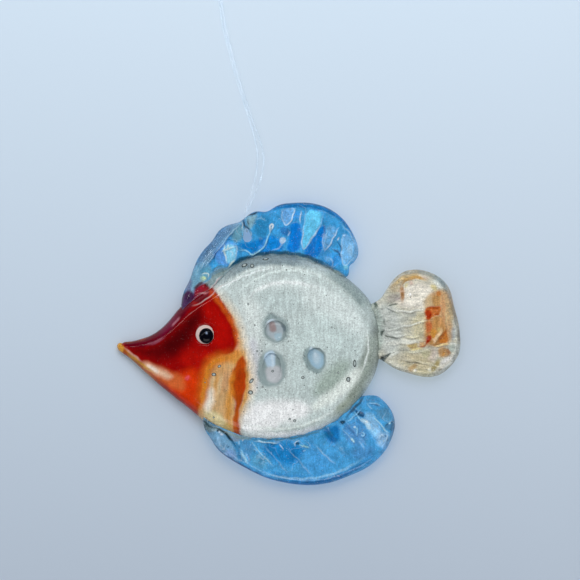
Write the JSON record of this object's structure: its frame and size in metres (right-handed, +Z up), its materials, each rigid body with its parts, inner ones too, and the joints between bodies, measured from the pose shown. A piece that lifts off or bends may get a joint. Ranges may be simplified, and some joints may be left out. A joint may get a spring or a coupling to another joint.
{
  "type": "glass fish ornament",
  "caption": "Flat hand-formed glass fish with a round clear body, red head, blue fins and amber-streaked tail, on a looped hanging thread.",
  "frame": {"origin": "under the middle of the glass, on the surface that the fish lies on with its flat back down", "axes": "+X from the beak to the tail, +Y towards the dorsal fin and the hanging thread, +Z up out of the fish's domed front"},
  "size_m": [0.1, 0.1519, 0.0088],
  "materials": {
    "clear_glass": "clear silvery glass with small bubbles, glossy",
    "red_glass": "deep red glass, glossy",
    "cream_glass": "cream and amber glass, glossy",
    "orange_glass": "orange-red glass, glossy",
    "amber_glass": "amber glass, glossy",
    "white_glass": "opaque white glass, glossy",
    "black_glass": "opaque black glass, glossy",
    "opal_glass": "milky blue-white opal glass, glossy",
    "blue_glass": "clear blue glass pressed with grooves, glossy",
    "tail_glass": "clear warm-grey glass pressed with grooves, glossy",
    "clear_thread": "clear nylon monofilament"
  },
  "bodies": {
    "root": {"body": "clear_glass", "head": "red_glass", "cheek_band": "cream_glass", "gill_streak": "orange_glass", "beak_tip": "amber_glass", "eye_white": "white_glass", "eye_pupil": "black_glass", "spot_upper": "opal_glass", "spot_lower": "opal_glass", "spot_rear": "opal_glass", "dorsal_fin": "blue_glass", "ventral_fin": "blue_glass", "tail_fin": "tail_glass", "tail_amber_bar": "amber_glass", "tail_amber_arc": "amber_glass", "thread_front": "clear_thread", "thread_back": "clear_thread", "thread_knot": "clear_thread"}
  },
  "joints": []
}
